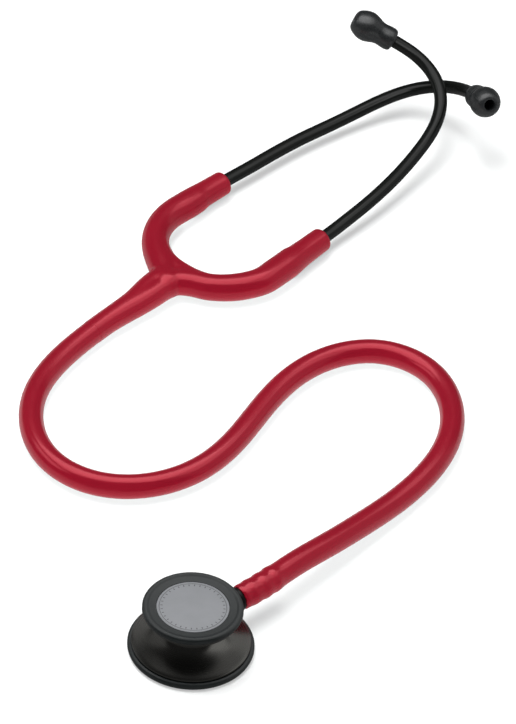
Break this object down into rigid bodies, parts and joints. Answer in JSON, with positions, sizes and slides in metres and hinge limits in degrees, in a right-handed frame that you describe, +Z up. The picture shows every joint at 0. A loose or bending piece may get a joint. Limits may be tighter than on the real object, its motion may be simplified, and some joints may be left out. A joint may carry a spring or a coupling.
{
  "type": "stethoscope",
  "caption": "Acoustic stethoscope with a dual-head rotating chestpiece, flexible tubing that lies in an S, a sprung Y headset and crossed ear tubes with soft ear tips.",
  "frame": {"origin": "centre of the adult diaphragm's underside, on the table the stethoscope lies on", "axes": "+Z up from the table; the table is the XY plane; +Y runs from the chestpiece towards the headset"},
  "size_m": [0.1759, 0.3519, 0.042],
  "materials": {
    "red_pvc": "smooth satin gloss, burgundy",
    "smoke_steel": "smoke finish, turned, semi-polished",
    "bright_steel": "turned",
    "spring_steel": "plain",
    "black_tube": "black anodised, satin",
    "ferrule_plastic": "moulded",
    "ear_tip_rubber": "soft, fine matte",
    "rim_rubber": "soft, matte slate",
    "o_ring_rubber": "matte",
    "diaphragm_plastic": "thin resin sheet",
    "face_print": "printed grey, fine concentric rings"
  },
  "bodies": {
    "yoke": {"tubing_yoke": "red_pvc", "headset_spring": "spring_steel"},
    "tube_6": {"tubing_6": "red_pvc"},
    "tube_5": {"tubing_5": "red_pvc"},
    "tube_4": {"tubing_4": "red_pvc"},
    "tube_3": {"tubing_3": "red_pvc"},
    "tube_2": {"tubing_2": "red_pvc"},
    "tube_1": {"tubing_1": "red_pvc", "stem": "bright_steel", "stem_o_ring": "o_ring_rubber", "stem_retaining_clip": "bright_steel"},
    "chestpiece": {"chestpiece_body": "smoke_steel", "adult_rim": "rim_rubber", "child_rim": "rim_rubber", "detent_ball": "bright_steel", "detent_spring": "bright_steel", "detent_screw": "smoke_steel"},
    "adult_diaphragm": {"adult_diaphragm": "diaphragm_plastic"},
    "child_diaphragm": {"child_diaphragm": "diaphragm_plastic", "child_face_disc": "face_print"},
    "headset_left": {"tubing_arm_left": "red_pvc", "left_ear_tube": "black_tube", "left_ear_ferrule": "ferrule_plastic"},
    "headset_right": {"tubing_arm_right": "red_pvc", "right_ear_tube": "black_tube", "right_ear_ferrule": "ferrule_plastic"},
    "ear_tip_left": {"left_ear_tip": "ear_tip_rubber"},
    "ear_tip_right": {"right_ear_tip": "ear_tip_rubber"}
  },
  "joints": [
    {"name": "flex_6", "type": "hinge", "parent": "yoke", "child": "tube_6", "pos_m": [-0.06452, 0.12908, 0.00466], "axis": [0, 0, -1], "range_deg": [-8, 25], "stiffness_Nm_per_rad": 0.03},
    {"name": "flex_5", "type": "hinge", "parent": "tube_6", "child": "tube_5", "pos_m": [-0.03319, 0.07845, 0.00466], "axis": [0, 0, -1], "range_deg": [-8, 25], "stiffness_Nm_per_rad": 0.03},
    {"name": "flex_4", "type": "hinge", "parent": "tube_5", "child": "tube_4", "pos_m": [0.01533, 0.11679, 0.00466], "axis": [0, 0, -1], "range_deg": [-8, 25], "stiffness_Nm_per_rad": 0.03},
    {"name": "flex_3", "type": "hinge", "parent": "tube_4", "child": "tube_3", "pos_m": [0.05898, 0.16346, 0.00466], "axis": [0, 0, 1], "range_deg": [-8, 25], "stiffness_Nm_per_rad": 0.03},
    {"name": "flex_2", "type": "hinge", "parent": "tube_3", "child": "tube_2", "pos_m": [0.09038, 0.11547, 0.00466], "axis": [0, 0, 1], "range_deg": [-8, 25], "stiffness_Nm_per_rad": 0.03},
    {"name": "flex_1", "type": "hinge", "parent": "tube_2", "child": "tube_1", "pos_m": [0.05657, 0.06077, 0.00701], "axis": [0, 0, 1], "range_deg": [-8, 25], "stiffness_Nm_per_rad": 0.03},
    {"name": "chestpiece_turn", "type": "hinge", "parent": "tube_1", "child": "chestpiece", "pos_m": [0, 0, 0.0115], "axis": [0.7314, 0.682, 0], "continuous": true},
    {"name": "adult_diaphragm_travel", "type": "slide", "parent": "chestpiece", "child": "adult_diaphragm", "axis": [0, 0, 1], "range_m": [0, 0.0004], "stiffness_N_per_m": 300},
    {"name": "child_diaphragm_travel", "type": "slide", "parent": "chestpiece", "child": "child_diaphragm", "axis": [0, 0, -1], "range_m": [0, 0.00025], "stiffness_N_per_m": 200},
    {"name": "headset_spread_left", "type": "hinge", "parent": "yoke", "child": "headset_left", "pos_m": [-0.01879, 0.23704, 0.0056], "axis": [0.1236, -0.3189, 0.9397], "range_deg": [0, 35], "stiffness_Nm_per_rad": 0.12},
    {"name": "headset_spread_right", "type": "hinge", "parent": "yoke", "child": "headset_right", "pos_m": [0.02157, 0.20456, 0.0056], "axis": [0.6383, -0.5134, -0.5736], "range_deg": [0, 35], "stiffness_Nm_per_rad": 0.12},
    {"name": "ear_tip_pull_left", "type": "slide", "parent": "headset_left", "child": "ear_tip_left", "axis": [0.3119, -0.847, 0.4305], "range_m": [0, 0.016]},
    {"name": "ear_tip_pull_right", "type": "slide", "parent": "headset_right", "child": "ear_tip_right", "axis": [-0.8978, 0.1701, 0.4063], "range_m": [0, 0.016]}
  ]
}
